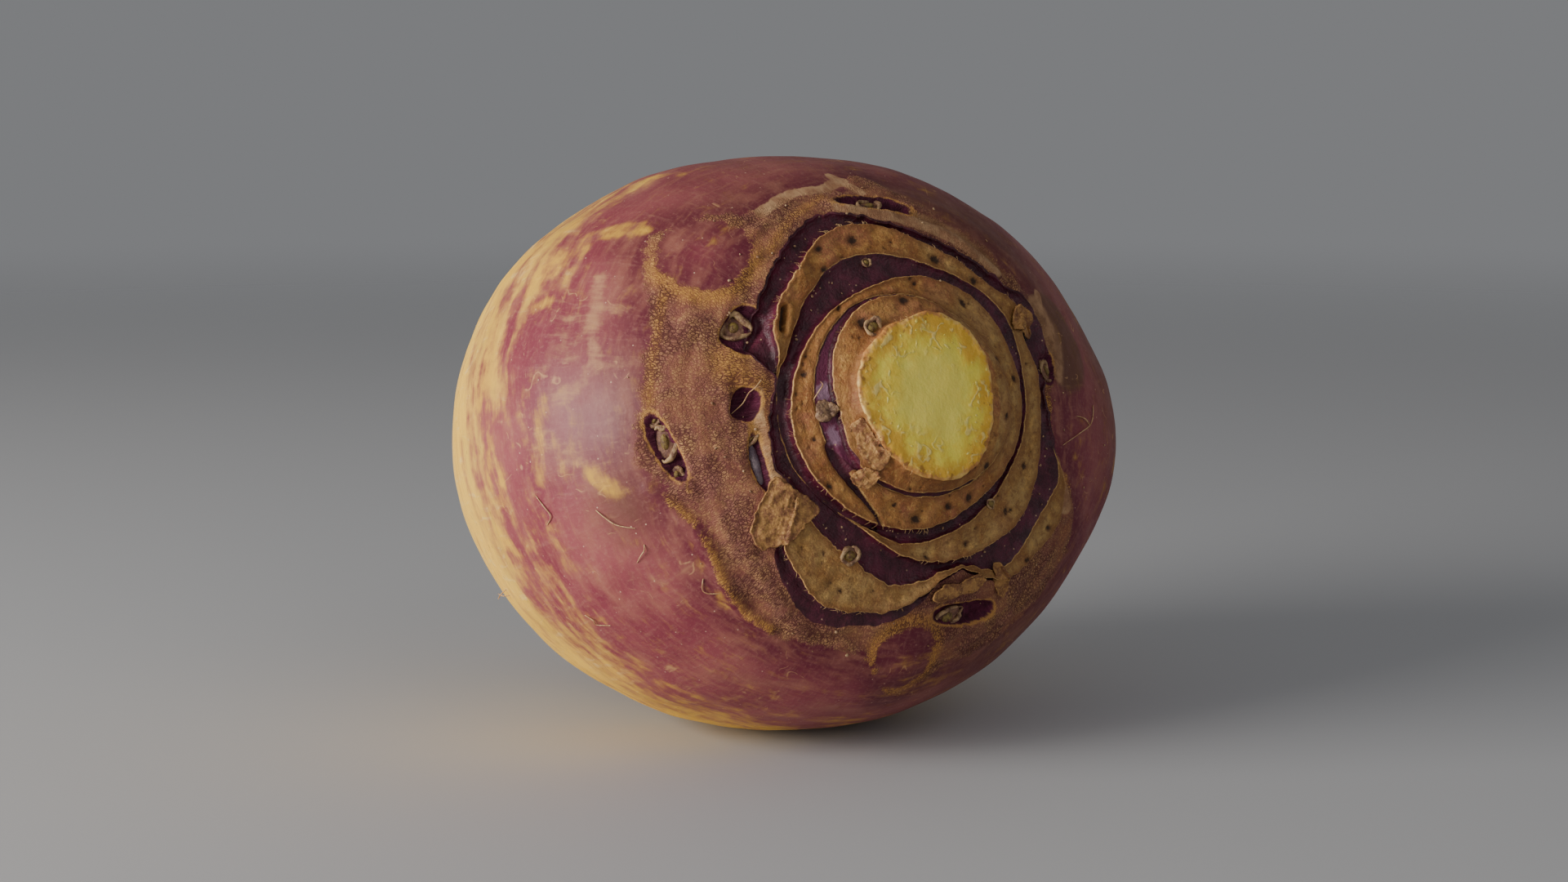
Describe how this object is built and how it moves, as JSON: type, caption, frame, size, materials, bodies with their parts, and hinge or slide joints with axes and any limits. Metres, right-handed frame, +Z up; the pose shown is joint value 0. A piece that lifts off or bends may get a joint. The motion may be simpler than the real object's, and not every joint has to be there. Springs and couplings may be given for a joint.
{
  "type": "rutabaga",
  "caption": "A whole swede lying on its side, its trimmed neck and ringed leaf scars facing forward and its short tail behind, on a small flat spot.",
  "frame": {"origin": "bottom centre of the box, on the surface that the swede lies on", "axes": "+X towards the crown end, +Y to the left as the crown faces forward, +Z up"},
  "size_m": [0.136, 0.1304, 0.1126],
  "materials": {
    "skin": "dull plum skin, creamy yellow towards the root, with tan leaf scars and a yellow cut neck"
  },
  "bodies": {
    "root": {"rutabaga": "skin"}
  },
  "joints": []
}
